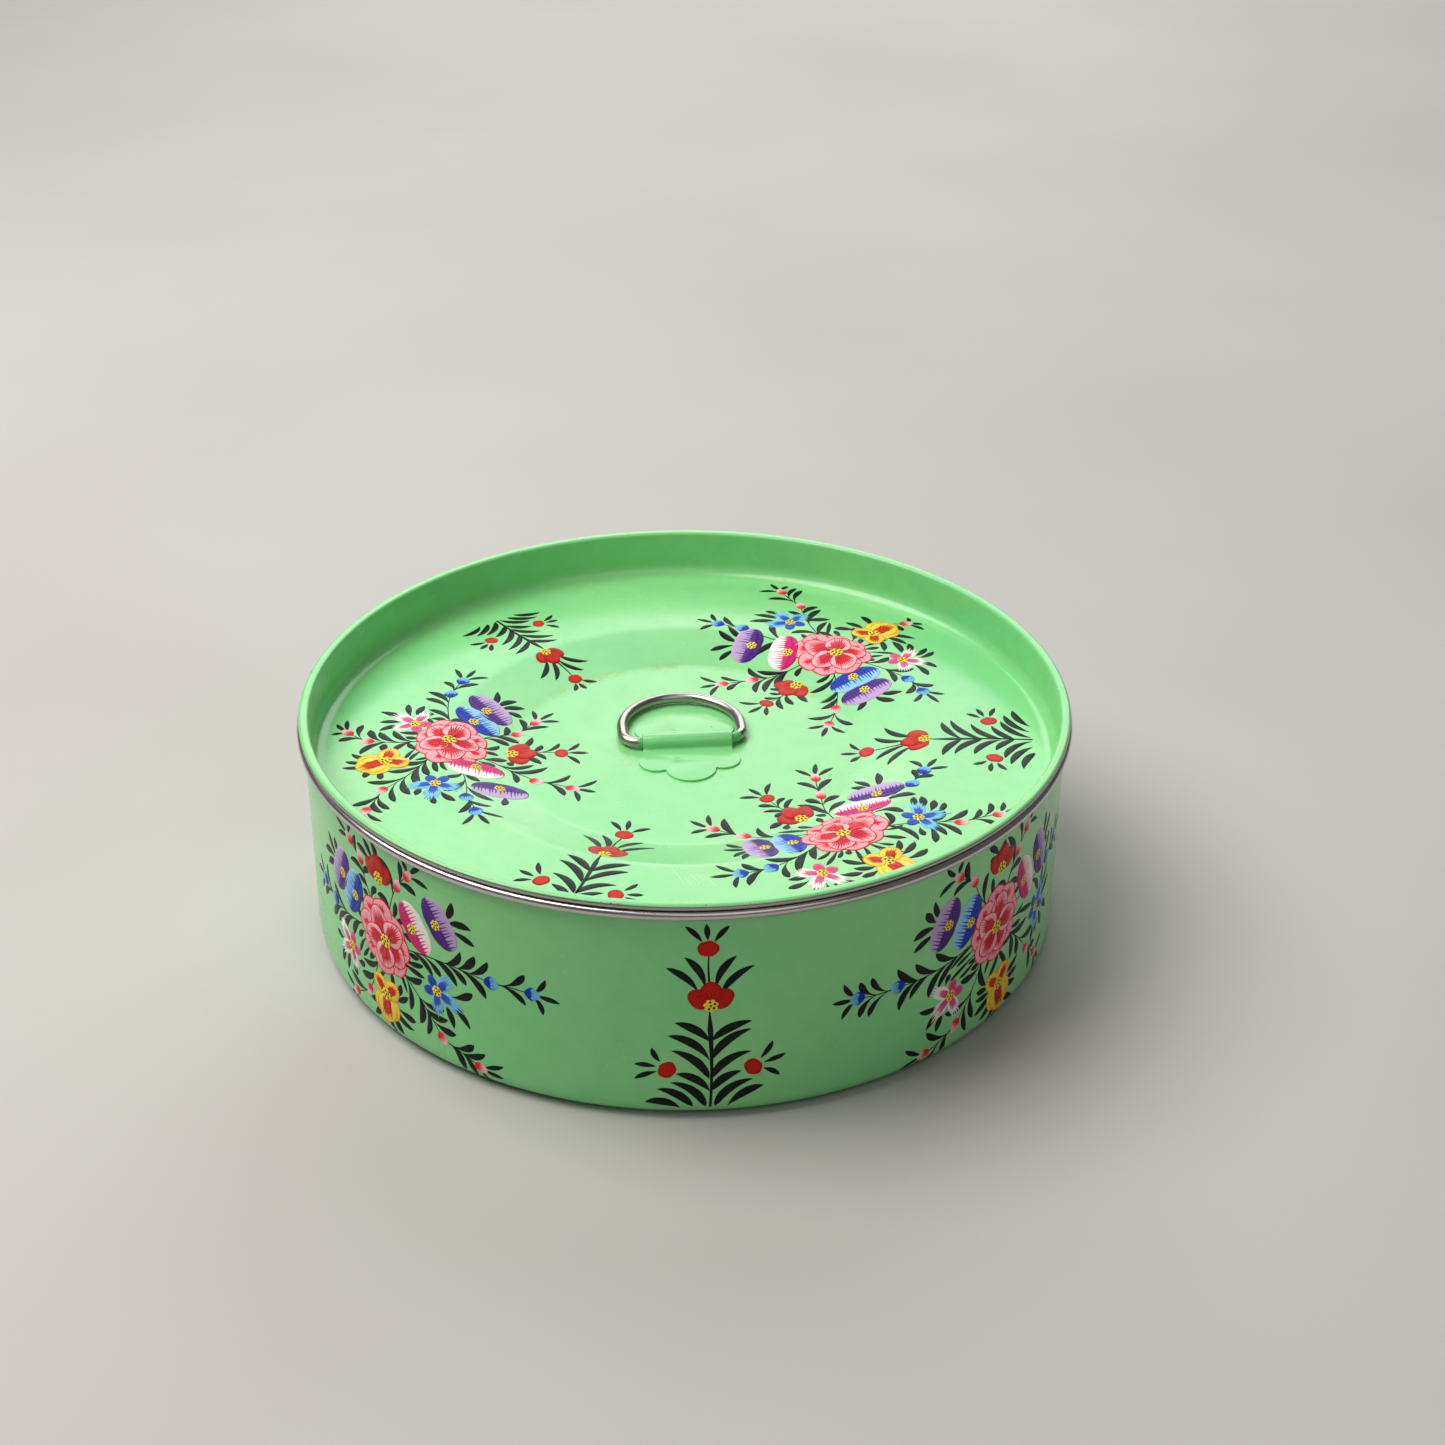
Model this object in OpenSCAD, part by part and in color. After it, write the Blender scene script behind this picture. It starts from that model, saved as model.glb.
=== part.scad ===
// Round drawn-steel food box with a recessed drop-in lid and a folding wire ring.
// Origin: centre of the base, on the surface it stands on. +Z is up and -Y is the front.

/* [Box] */
// Outer diameter over the rolled rim of the box
rim_d = 220; // [190:1:250]
// Height of the box, from its base to the top of its rolled rim
box_h = 65.75; // [60:0.25:80]
// Thickness of the steel sheet of the box
box_sheet = 0.6; // [0.5:0.1:0.8]
// Outer radius of the bend between the wall and the base
base_bend_r = 6; // [4:0.5:9]
// Outer diameter of the rolled rim's tube
box_roll_d = 2.5; // [2.2:0.1:3]

/* [Lid] */
// Thickness of the steel sheet of the lid
lid_sheet = 0.6; // [0.5:0.1:0.7]
// Height of the lid's folded rim
lid_rim_t = 1.95; // [1.8:0.05:2.2]
// Radial width of the lid's folded rim
lid_rim_w = 2.9; // [2.7:0.1:3.4]
// Depth of the lid's flat ring below the top of its rim
lid_depth = 14.4; // [12:0.1:18]
// Inside radius of the bend between the lid's wall and its flat ring
lid_bend_r = 4; // [3:0.5:6]
// Radius where the flat ring ends and the dished centre begins
dish_outer_r = 68.8; // [60:0.1:75]
// Radius where the slope of the dish meets its floor
dish_inner_r = 50.7; // [40:0.1:55]
// Depth of the dished centre below the flat ring
dish_drop = 4.8; // [3:0.1:6]

/* [Ring and strap] */
// Diameter of the ring's wire
wire_d = 3.1; // [2.5:0.1:3.5]
// Half of the ring's width, at the middle of its wire
ring_half_w = 17.4; // [17:0.1:19]
// Distance from the pivot to the far side of the ring, at the middle of its wire
ring_reach = 25.8; // [24:0.1:28]
// Radius of the ring's two bends beside the pivot, at the middle of its wire
ring_bend_r = 5; // [4:0.5:5]
// How far the ring sits to the left of the middle of its strap
ring_shift = 0.9; // [0:0.1:0.9]
// Turn of the ring and its strap about the upright axis, in degrees
strap_turn = 5; // [0:1:30]
// Length of the strap's tunnel, along the pivot
tunnel_len = 25.8; // [24:0.2:26]
// Thickness of the strap's sheet
strap_sheet = 0.55; // [0.5:0.05:0.7]
// Room between the wire and the inside of the tunnel
tunnel_gap = 0.4; // [0.3:0.1:0.5]
// Sideways place of the strap's middle on the lid
strap_x = 0.45; // [-2:0.05:2]
// Front-to-back place of the pivot on the lid
strap_y = 2.6; // [-3:0.1:5]

/* [Hidden] */
$fn = 128;

enamel = "mediumaquamarine";
steel = "silver";

// Box
roll_r = box_roll_d / 2;
wall_in_r = rim_d / 2 - box_roll_d;
wall_r = wall_in_r + box_sheet;
roll_centre_r = wall_in_r + roll_r;
roll_z = box_h - roll_r;
roll_slit = 0.3;

// Lid
rim_gap = 0.22;
rim_r = lid_rim_t / 2;
rim_z = box_h + rim_gap + rim_r;
lid_top_z = rim_z + rim_r;
rim_edge_r = rim_d / 2 - 0.5;
rim_out_r = rim_edge_r - rim_r;
rim_in_r = rim_edge_r - lid_rim_w + rim_r;
rim_slit = 0.3;
flat_z = lid_top_z - lid_depth;
floor_z = flat_z - dish_drop;
lid_in_r = rim_in_r - rim_r;
lid_out_r = lid_in_r + lid_sheet;
dish_angle = atan(dish_drop / (dish_outer_r - dish_inner_r));

// Ring and strap
wire_r = wire_d / 2;
tunnel_in_r = wire_r + tunnel_gap;
tunnel_out_r = tunnel_in_r + strap_sheet;
wire_lift = 0.3;
pivot_z = floor_z + wire_lift + wire_r;
foot_bend_r = 0.8;
bow_centre = ring_reach - ring_half_w;
bend_u = ring_half_w - ring_bend_r;
butt_gap = 0.3;
side_lobe_r = 5.1;
side_lobe_u = 9.5;
side_lobe_v = 9;
middle_lobe_r = 7.2;
middle_lobe_v = 13.1;
wing_root = 3;
weld_u = -3.2;
weld_v = 8.2;
weld_ball_r = 3;
weld_depth = 0.2;

// Section of a straight-walled pan with a rounded bottom edge
module pan_section(r, bend_r, bottom, top) {
    translate([0, bottom])
        square([r - bend_r, top - bottom]);
    translate([0, bottom + bend_r])
        square([r, top - bottom - bend_r]);
    translate([r - bend_r, bottom + bend_r])
        circle(bend_r);
}

// Rolled rim: the sheet curls outwards and stops just short of the wall
module roll_section() {
    difference() {
        translate([roll_centre_r, roll_z])
            circle(roll_r);
        translate([roll_centre_r, roll_z])
            circle(roll_r - box_sheet);
        translate([wall_r, roll_z - 2 * roll_r])
            square([roll_slit, 2 * roll_r]);
    }
}

module box_shell() {
    color(enamel)
        rotate_extrude()
            union() {
                difference() {
                    pan_section(wall_r, base_bend_r, 0, roll_z);
                    pan_section(wall_in_r, base_bend_r - box_sheet, box_sheet, roll_z + 1);
                }
                roll_section();
            }
}

// Long round-ended outline of the folded rim
module rim_outline(r) {
    translate([rim_in_r, rim_z])
        circle(r);
    translate([rim_out_r, rim_z])
        circle(r);
    translate([rim_in_r, rim_z - r])
        square([rim_out_r - rim_in_r, 2 * r]);
}

// Folded rim: the sheet turns outwards and back under itself
module rim_section() {
    difference() {
        rim_outline(rim_r);
        rim_outline(rim_r - lid_sheet);
        translate([lid_out_r, rim_z - 2 * rim_r])
            square([rim_slit, 2 * rim_r]);
    }
}

// Everything above one face of the lid's sheet: down is how far that face is below the upper one
module above_lid(down) {
    shift = down * tan(dish_angle / 2);
    pan_section(lid_in_r + down, lid_bend_r + down, flat_z - down, rim_z + lid_sheet - down);
    polygon([
        [0, flat_z],
        [0, floor_z - down],
        [dish_inner_r + shift, floor_z - down],
        [dish_outer_r + shift, flat_z - down],
        [dish_outer_r + shift, flat_z]
    ]);
}

module lid_shell() {
    color(enamel)
        rotate_extrude()
            union() {
                difference() {
                    above_lid(lid_sheet);
                    above_lid(0);
                }
                rim_section();
            }
}

// Puts a piece drawn about the pivot onto the lid: X along the pivot, Y towards the ring's far side
module on_pivot() {
    translate([strap_x, strap_y, 0])
        rotate([0, 0, strap_turn])
            children();
}

// Section of the tunnel across the pivot, with the small bends at its feet
module tunnel_section() {
    foot = floor_z + strap_sheet;
    difference() {
        union() {
            translate([0, pivot_z])
                circle(tunnel_out_r);
            translate([-tunnel_out_r, floor_z])
                square([2 * tunnel_out_r, pivot_z - floor_z]);
            for (side = [-1, 1])
                difference() {
                    translate([side * (tunnel_out_r + foot_bend_r / 2), floor_z + (strap_sheet + foot_bend_r) / 2])
                        square([foot_bend_r, strap_sheet + foot_bend_r], center = true);
                    translate([side * (tunnel_out_r + foot_bend_r), foot + foot_bend_r])
                        circle(foot_bend_r);
                }
        }
        translate([0, pivot_z])
            circle(tunnel_in_r);
        translate([-tunnel_in_r, floor_z - tunnel_in_r])
            square([2 * tunnel_in_r, pivot_z - floor_z + tunnel_in_r]);
    }
}

// Scalloped outline of one wing of the strap, with three round lobes
module wing_outline() {
    translate([-tunnel_len / 2, wing_root])
        square([tunnel_len, side_lobe_v - wing_root]);
    for (side = [-1, 1])
        translate([side * side_lobe_u, side_lobe_v])
            circle(side_lobe_r);
    translate([0, middle_lobe_v])
        circle(middle_lobe_r);
    translate([-side_lobe_u, side_lobe_v])
        square([2 * side_lobe_u, middle_lobe_v - side_lobe_v]);
}

// One flat wing, with the round dent of its spot weld
module wing() {
    difference() {
        translate([0, 0, floor_z])
            linear_extrude(strap_sheet)
                wing_outline();
        translate([weld_u, weld_v, floor_z + strap_sheet - weld_depth + weld_ball_r])
            sphere(weld_ball_r);
    }
}

module ring_strap() {
    color(enamel)
        on_pivot()
            union() {
                rotate([90, 0, 90])
                    translate([0, 0, -tunnel_len / 2])
                        linear_extrude(tunnel_len)
                            tunnel_section();
                for (side = [-1, 1])
                    translate([-tunnel_len / 2, side > 0 ? tunnel_out_r : -wing_root - 0.5, floor_z])
                        cube([tunnel_len, wing_root + 0.5 - tunnel_out_r, strap_sheet]);
                wing();
                mirror([0, 1, 0])
                    wing();
            }
}

// Part of a ring of wire about a centre on the pivot's plane
module wire_arc(centre_u, centre_v, r, from, turn) {
    translate([centre_u, centre_v, 0])
        rotate([0, 0, from])
            rotate_extrude(angle = turn)
                translate([r, 0])
                    circle(wire_r);
}

module handle_ring() {
    color(steel)
        on_pivot()
            translate([-ring_shift, 0, pivot_z])
                union() {
                    difference() {
                        rotate([0, 90, 0])
                            cylinder(r = wire_r, h = 2 * bend_u, center = true);
                        cube([butt_gap, 2 * wire_d, 2 * wire_d], center = true);
                    }
                    wire_arc(bend_u, ring_bend_r, ring_bend_r, -90, 90);
                    wire_arc(-bend_u, ring_bend_r, ring_bend_r, 180, 90);
                    wire_arc(0, bow_centre, ring_half_w, 0, 180);
                    for (side = [-1, 1])
                        translate([side * ring_half_w, ring_bend_r, 0])
                            rotate([-90, 0, 0])
                                cylinder(r = wire_r, h = bow_centre - ring_bend_r);
                }
}

box_shell();
lid_shell();
ring_strap();
handle_ring();
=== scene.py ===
"""A round food box of drawn steel, enamelled mint green and painted by hand with bouquets and red sprigs.

Lengths are in millimetres until a point becomes a vertex. Canvas and brush draw each painted stroke as a
thin closed solid that follows the steel under it.
"""
import math
import random

import bmesh
import bpy
from mathutils import Matrix, Vector


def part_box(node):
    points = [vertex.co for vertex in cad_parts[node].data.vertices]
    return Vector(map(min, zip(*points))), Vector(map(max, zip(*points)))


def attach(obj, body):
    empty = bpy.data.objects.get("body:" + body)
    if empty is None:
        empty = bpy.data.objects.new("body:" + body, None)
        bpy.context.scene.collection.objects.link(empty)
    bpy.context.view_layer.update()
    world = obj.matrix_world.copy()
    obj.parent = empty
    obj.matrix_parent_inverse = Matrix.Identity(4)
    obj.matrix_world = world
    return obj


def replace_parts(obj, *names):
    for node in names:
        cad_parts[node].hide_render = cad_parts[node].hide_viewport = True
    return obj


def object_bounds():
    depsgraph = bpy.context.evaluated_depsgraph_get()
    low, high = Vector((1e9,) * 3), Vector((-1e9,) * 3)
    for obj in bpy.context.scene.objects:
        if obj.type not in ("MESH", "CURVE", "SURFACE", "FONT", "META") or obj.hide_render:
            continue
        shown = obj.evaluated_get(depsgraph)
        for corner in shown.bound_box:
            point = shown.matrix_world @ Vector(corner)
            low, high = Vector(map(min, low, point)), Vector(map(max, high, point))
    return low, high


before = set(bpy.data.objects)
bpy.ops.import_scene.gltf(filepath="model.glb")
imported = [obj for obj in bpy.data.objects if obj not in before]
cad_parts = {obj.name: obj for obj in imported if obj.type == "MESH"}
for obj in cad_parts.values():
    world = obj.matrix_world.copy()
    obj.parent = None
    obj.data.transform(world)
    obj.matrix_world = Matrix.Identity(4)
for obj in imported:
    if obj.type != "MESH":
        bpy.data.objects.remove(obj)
cad_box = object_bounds()

MM = 0.001

# Steps round the turned shells, and the turn in degrees from which an edge of theirs is sharp
SIDES = 288
SHARP = 32

# Sizes of the box, from the CAD model
BOX_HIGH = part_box("box_shell")[1]
LID_LOW, LID_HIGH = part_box("lid_shell")
RING_LOW, RING_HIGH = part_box("handle_ring")
SHEET = 0.6
ROLL_R = 1.25
BASE_BEND_R = 6.0
BOX_H = BOX_HIGH.z / MM
WALL_IN_R = BOX_HIGH.x / MM - 2 * ROLL_R
WALL_R = WALL_IN_R + SHEET
ROLL_Z = BOX_H - ROLL_R
ROLL_CENTRE_R = WALL_IN_R + ROLL_R
SLIT = 0.3
SLIT_DEPTH = 0.9

# The lid: its hem, its wall, its flat ring and the dish with two rounded creases
LID_TOP = LID_HIGH.z / MM
HEM_R = 0.975
HEM_W = 2.9
HEM_Z = LID_TOP - HEM_R
HEM_OUT_R = LID_HIGH.x / MM - HEM_R
HEM_IN_R = HEM_OUT_R + 2 * HEM_R - HEM_W
LID_IN_R = HEM_IN_R - HEM_R
LID_BEND_R = 4.0
FLAT_Z = LID_TOP - 14.4
FLOOR_Z = LID_LOW.z / MM + SHEET
DISH_IN_R = 50.7
DISH_OUT_R = 68.8
DISH_SLOPE = math.atan2(FLAT_Z - FLOOR_Z, DISH_OUT_R - DISH_IN_R)
CREASE_R = 12.0
CREASE_LEN = CREASE_R * math.tan(DISH_SLOPE / 2)

# The ring's wire, the sizes of its line and the strap that holds it
WIRE_R = 1.55
WIRE_SIDES = 28
RING_HALF_W = 17.4
RING_REACH = 25.8
RING_BEND_R = 5.0
RING_GAP = 0.15
RING_SHIFT = -0.9
STRAP_AT = Vector((0.45, 2.6, 0))
STRAP_TURN = math.radians(5)
PIVOT_Z = (RING_LOW.z + RING_HIGH.z) / 2 / MM

# How deep the hidden underside of paint lies, how far leaves and flowers stand above the enamel, and how far
# each layer of a flower stands above the last
PAINT_SUNK = -0.03
LEAF_LIFT = 0.045
FLOWER_LIFT = 0.06
LAYER = 0.02

# Extra height where paint goes round the bend at the foot of the wall
BEND_LIFT = 0.035

# Shares of a stroke's half width and of a filled shape's reach at which the paint starts to fall to its edge
SHOULDER = 0.72
EDGE_SHARE = 0.93

# Leaves: bare enamel between them, steps along one, tries to place it, fullness and half width at its root
GAP = 0.12
LEAF_STEPS = 13
LEAF_TRIES = 9
LEAF_FULL = 0.9
LEAF_ROOT = 0.07

# Shares of its width along a ray
RAY_TAPER = (0.75, 1.0, 0.85, 0.5, 0.06)

# Zones that can be painted: lowest and highest place on the wall, radius on the lid
WALL_PAINT_LOW = -3.5
WALL_PAINT_TOP = 62.3
LID_PAINT_R = 102.3


def shade(red, green, blue):
    """Linear colour of three 0 to 255 display values."""
    def linear(value):
        value = value / 255
        return value / 12.92 if value <= 0.04045 else ((value + 0.055) / 1.055) ** 2.4
    return (linear(red), linear(green), linear(blue))


def blend(a, b, share):
    """The colour or the point at a share of the way from a to b."""
    return tuple(p + (q - p) * share for p, q in zip(a, b))


def away(x, y, out, heading):
    """The point at a distance from x, y along a heading in degrees."""
    angle = math.radians(heading)
    return x + out * math.cos(angle), y + out * math.sin(angle)


def way(start, end):
    """Heading from one point to another, in degrees."""
    return math.degrees(math.atan2(end[1] - start[1], end[0] - start[0]))


INK = shade(7, 18, 10)
PINK = shade(252, 148, 162)
PALE_PINK = shade(254, 192, 198)
ROSE_RED = shade(232, 22, 48)
ROSE_DEEP = shade(190, 12, 40)
POPPY = shade(206, 16, 10)
POPPY_DEEP = shade(156, 8, 6)
YELLOW = shade(250, 222, 70)
ORANGE = shade(238, 96, 20)
FLAME = shade(206, 32, 14)
WHITE = shade(248, 243, 236)
MAGENTA = shade(222, 14, 120)
VIOLET = shade(80, 24, 134)
LILAC = shade(186, 148, 206)
BLUE = shade(14, 50, 178)
SKY = shade(124, 198, 240)
SCRATCH = shade(226, 250, 226)

TONES = {
    "blue": (BLUE, SKY),
    "violet": (VIOLET, LILAC),
    "magenta": (MAGENTA, WHITE),
}


# ---------------------------------------------------------------- materials

class Look:
    """A material and the few node patterns that the looks here are mixed from."""

    def __init__(self, name):
        self.material = bpy.data.materials.new(name)
        self.material.use_nodes = True
        self.tree = self.material.node_tree
        self.tree.nodes.clear()
        output = self.tree.nodes.new("ShaderNodeOutputMaterial")
        self.shader = self.tree.nodes.new("ShaderNodeBsdfPrincipled")
        self.tree.links.new(self.shader.outputs[0], output.inputs["Surface"])
        self.place = self.tree.nodes.new("ShaderNodeTexCoord").outputs["Object"]

    def node(self, kind, **settings):
        made = self.tree.nodes.new("ShaderNode" + kind)
        for key, value in settings.items():
            setattr(made, key, value)
        return made

    def join(self, source, socket):
        if isinstance(source, bpy.types.NodeSocket):
            self.tree.links.new(source, socket)
        else:
            socket.default_value = source

    def set(self, **values):
        """Sets or links the shader's sockets, whose names are written with _ for a space."""
        for key, value in values.items():
            self.join(value, self.shader.inputs[key.replace("_", " ")])
        return self

    def noise(self, scale, detail, rough=0.5, place=None, distortion=0.0):
        made = self.node("TexNoise")
        for key, value in (("Scale", scale), ("Detail", detail), ("Roughness", rough),
                           ("Distortion", distortion), ("Vector", place or self.place)):
            self.join(value, made.inputs[key])
        return made.outputs["Fac"]

    def math(self, operation, a, b=0.0):
        made = self.node("Math", operation=operation)
        self.join(a, made.inputs[0])
        self.join(b, made.inputs[1])
        return made.outputs[0]

    def times(self, a, b):
        return self.math("MULTIPLY", a, b)

    def step(self, value, low, high, start=0.0, end=1.0):
        """Rises smoothly from start to end as value passes from low to high."""
        made = self.node("MapRange", interpolation_type="SMOOTHSTEP")
        for number, socket in zip((value, low, high, start, end), made.inputs):
            self.join(number, socket)
        return made.outputs["Result"]

    def zone(self, place, low, high):
        """Rises from 0 to 1 as a place in metres passes from low to high, in mm."""
        return self.step(place, low * MM, high * MM)

    def mix(self, share, a, b):
        made = self.node("Mix", data_type="RGBA")
        self.join(share, made.inputs["Factor"])
        for value, socket in ((a, made.inputs["A"]), (b, made.inputs["B"])):
            colours = [s for s in made.inputs if s.name == socket.name and s.type == "RGBA"]
            self.join(value if isinstance(value, bpy.types.NodeSocket) else (*value, 1.0), colours[0])
        return [s for s in made.outputs if s.type == "RGBA"][0]

    def axes(self):
        """The X, Y and Z of a point, in metres, and its distance from the upright axis."""
        split = self.node("SeparateXYZ")
        self.join(self.place, split.inputs[0])
        x, y, z = split.outputs
        flat = self.math("ADD", self.times(x, x), self.times(y, y))
        return x, y, z, self.math("SQRT", flat)

    def specks(self, scale, size, share):
        """Round dots in some cells of a random grid: scale is cells per metre, size and share go up to 1."""
        cells = self.node("TexVoronoi")
        cells.inputs["Scale"].default_value = scale
        self.join(self.place, cells.inputs["Vector"])
        pick = self.node("SeparateColor")
        self.join(cells.outputs["Color"], pick.inputs[0])
        dot = self.step(cells.outputs["Distance"], size, size * 0.6)
        return self.times(dot, self.step(pick.outputs[0], 1 - share, 1 - share + 0.02))

    def bump(self, height, depth_mm, strength=1.0, onto=None):
        made = self.node("Bump")
        made.inputs["Strength"].default_value = strength
        made.inputs["Distance"].default_value = depth_mm * MM
        self.join(height, made.inputs["Height"])
        if onto is not None:
            self.join(onto, made.inputs["Normal"])
        return made.outputs["Normal"]


MINT = shade(131, 217, 140)
MINT_WARM = shade(142, 220, 141)
MINT_DEEP = shade(96, 184, 106)
GRIME = shade(142, 188, 78)
STEEL = shade(206, 200, 197)
STEEL_DARK = shade(128, 122, 118)
WIRE = shade(178, 171, 166)


def enamel_pattern(look):
    """Colour, roughness and normal of brushed and baked mint enamel."""
    cloud = look.step(look.noise(16, 3), 0.35, 0.65)
    colour = look.mix(cloud, MINT, MINT_WARM)
    brush = look.step(look.noise(150, 4, 0.6), 0.3, 0.8, 0.0, 0.16)
    colour = look.mix(brush, colour, MINT_DEEP)
    colour = look.mix(look.times(look.specks(130, 0.045, 0.10), 0.75), colour, INK)
    colour = look.mix(look.times(look.specks(60, 0.05, 0.12), 0.5), colour, GRIME)
    rough = look.step(look.noise(38, 4, 0.65), 0.3, 0.75, 0.17, 0.30)
    waves = look.bump(look.noise(24, 1), 0.10)
    peel = look.bump(look.noise(420, 2), 0.0045, 1.0, waves)
    return colour, rough, peel


def enamel():
    look = Look("mint_enamel")
    colour, rough, normal = enamel_pattern(look)
    x, y, z, r = look.axes()
    # dull wear where the box stands on its base
    bend_r = WALL_R - BASE_BEND_R
    stand = look.times(look.zone(z, 1.1, 0.2), look.zone(r, bend_r - 17.1, bend_r - 4.1))
    scuff = look.times(stand, look.step(look.noise(240, 4, 0.7), 0.54, 0.68))
    colour = look.mix(scuff, colour, STEEL_DARK)
    # painted shade: a darker band of mint just under the rolled rim, where the rim shades the wall
    under = look.zone(z, ROLL_Z - 3.3, ROLL_Z - 0.9)
    painted_rim_shade = look.times(under, look.step(look.noise(90, 4, 0.7), 0.40, 0.75, 0.0, 0.55))
    colour = look.mix(painted_rim_shade, colour, MINT_DEEP)
    return look.set(Base_Color=colour, Roughness=rough, Normal=normal, IOR=1.52).material


def lid_enamel():
    """Enamel of the lid, with a yellowed residue left in its creases on the far side and round the strap."""
    look = Look("mint_enamel_of_the_lid")
    colour, rough, normal = enamel_pattern(look)
    x, y, z, r = look.axes()
    patchy = look.step(look.noise(110, 5, 0.7), 0.42, 0.62)
    fine = look.step(look.noise(700, 3, 0.7), 0.35, 0.62)
    back = look.zone(y, 12, 42)
    crease = look.times(look.zone(r, DISH_IN_R - 2.9, DISH_IN_R - 0.7),
                        look.zone(r, DISH_IN_R + 2.8, DISH_IN_R + 0.5))
    residue = look.times(look.times(crease, back), patchy)
    cloud = look.step(look.noise(85, 5, 0.7), 0.50, 0.70)
    near_strap = look.times(look.zone(r, 27, 17), cloud)
    corner = look.times(look.zone(r, LID_IN_R - 4.6, LID_IN_R - 2.1),
                        look.zone(z, FLAT_Z + 6.5, FLAT_Z + 0.5))
    corner = look.times(corner, look.step(look.noise(60, 5, 0.7), 0.46, 0.72))
    stain = look.times(look.math("MAXIMUM", residue, look.times(near_strap, 0.6)), fine)
    stain = look.math("MAXIMUM", stain, look.times(corner, 0.30))
    colour = look.mix(look.times(stain, 0.78), colour, GRIME)
    return look.set(Base_Color=colour, Roughness=rough, Normal=normal, IOR=1.52).material


def hem_enamel():
    """Enamel on the rim of the lid, worn through to the steel in small places towards its outer side."""
    look = Look("worn_enamel_of_the_hem")
    colour, rough, normal = enamel_pattern(look)
    x, y, z, r = look.axes()
    outward = look.zone(r, HEM_IN_R, HEM_OUT_R + 0.7)
    edge = look.math("ADD", look.noise(170, 5, 0.75), look.times(outward, 0.34))
    bare = look.step(edge, 0.945, 0.985)
    colour = look.mix(bare, colour, STEEL_DARK)
    return look.set(Base_Color=colour, Roughness=rough, Normal=normal, Metallic=bare).material


def round_steel(name, tone, fine, rough_low, rough_high, depth_mm, tarnish=0.0):
    """Bare steel with fine marks round the upright axis, as turning and polishing leave them."""
    look = Look(name)
    x, y, z, r = look.axes()
    ring_place = look.node("CombineXYZ")
    for value, socket in zip((r, z, 0.0), ring_place.inputs):
        look.join(value, socket)
    lines = look.noise(fine, 3, 0.7, ring_place.outputs[0])
    blotch = look.noise(30, 4, 0.6)
    rough = look.step(look.math("ADD", lines, blotch), 0.7, 1.3, rough_low, rough_high)
    colour = look.mix(look.step(lines, 0.3, 0.7, 0.0, 0.35), tone, blend(tone, STEEL_DARK, 0.5))
    spots = look.step(look.noise(210, 5, 0.75), 0.56, 0.72, 0.0, tarnish)
    colour = look.mix(spots, colour, STEEL_DARK)
    marks = look.bump(lines, depth_mm, 0.6)
    waves = look.bump(look.noise(26, 1), 0.05, 1.0, marks)
    return look.set(Base_Color=colour, Roughness=rough, Normal=waves, Metallic=1.0).material


def ring_steel():
    """Polished wire with fine scratches, smeared with enamel where it leaves the tunnel."""
    look = Look("polished_wire")
    scratches = look.noise(900, 4, 0.8, distortion=1.5)
    smudge = look.noise(120, 4, 0.65)
    rough = look.step(smudge, 0.3, 0.75, 0.22, 0.36)
    x, y, z, r = look.axes()
    turn_x = look.times(look.math("SUBTRACT", x, STRAP_AT.x * MM), math.cos(STRAP_TURN))
    turn_y = look.times(look.math("SUBTRACT", y, STRAP_AT.y * MM), math.sin(STRAP_TURN))
    across = look.math("ADD", turn_x, turn_y)
    along = look.math("SUBTRACT", look.math("ABSOLUTE", across), look.times(across, 0.05))
    ragged = look.math("ADD", along, look.times(look.noise(420, 3, 0.7), 0.0042))
    smear = look.times(look.zone(ragged, 17.2, 16.3), look.zone(y, 8.8, 7.2))
    colour = look.mix(look.step(scratches, 0.45, 0.75, 0.0, 0.3), WIRE, STEEL_DARK)
    colour = look.mix(smear, colour, MINT_DEEP)
    bare = look.math("SUBTRACT", 1.0, smear)
    normal = look.bump(scratches, 0.003, 0.5)
    return look.set(Base_Color=colour, Roughness=rough, Normal=normal, Metallic=bare).material


def hand_paint():
    """Glossy brush paint: its colour is on the vertices, with a little unevenness from the brush."""
    look = Look("hand_paint")
    pigment = look.node("Attribute", attribute_name="Paint")
    thin = look.step(look.noise(900, 4, 0.7), 0.35, 0.8, 0.0, 0.02)
    colour = look.mix(thin, pigment.outputs["Color"], MINT_WARM)
    rough = look.step(look.noise(260, 3, 0.6), 0.3, 0.7, 0.24, 0.40)
    normal = look.bump(look.noise(1400, 2), 0.004, 0.7)
    return look.set(Base_Color=colour, Roughness=rough, Normal=normal, Specular_IOR_Level=0.12).material


def pale_floor():
    look = Look("pale_floor")
    cloth = look.noise(900, 2, 0.6)
    soft = look.step(look.noise(3, 3), 0.3, 0.7)
    colour = look.mix(soft, shade(197, 194, 189), shade(190, 186, 181))
    return look.set(Base_Color=colour, Roughness=0.85, Normal=look.bump(cloth, 0.05, 0.35)).material


# ---------------------------------------------------------------- mesh helpers

def new_piece(name, mesh, body):
    """A visible piece that rides on a body of the CAD model."""
    piece = bpy.data.objects.new(name, mesh)
    bpy.context.scene.collection.objects.link(piece)
    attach(piece, body)
    return piece


def arc(centre_r, centre_z, radius, start, end, look, pitch):
    """Points of an outline round an arc, from start to end in degrees, about a pitch apart."""
    count = max(2, round(abs(end - start) / pitch))
    return [(*away(centre_r, centre_z, radius, start + (end - start) * i / count), look)
            for i in range(count + 1)]


def run(start, end, look, pitch=6.0):
    """Points of an outline along a straight stretch, without its end point."""
    count = max(1, round(math.dist(start, end) / pitch))
    return [(*blend(start, end, i / count), look) for i in range(count)]


def tidy_outline(points):
    """Drops points that lie on the one before."""
    kept = []
    for point in points:
        if not kept or math.dist(point[:2], kept[-1][:2]) > 1e-4:
            kept.append(point)
        else:
            kept[-1] = point
    return kept


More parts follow.
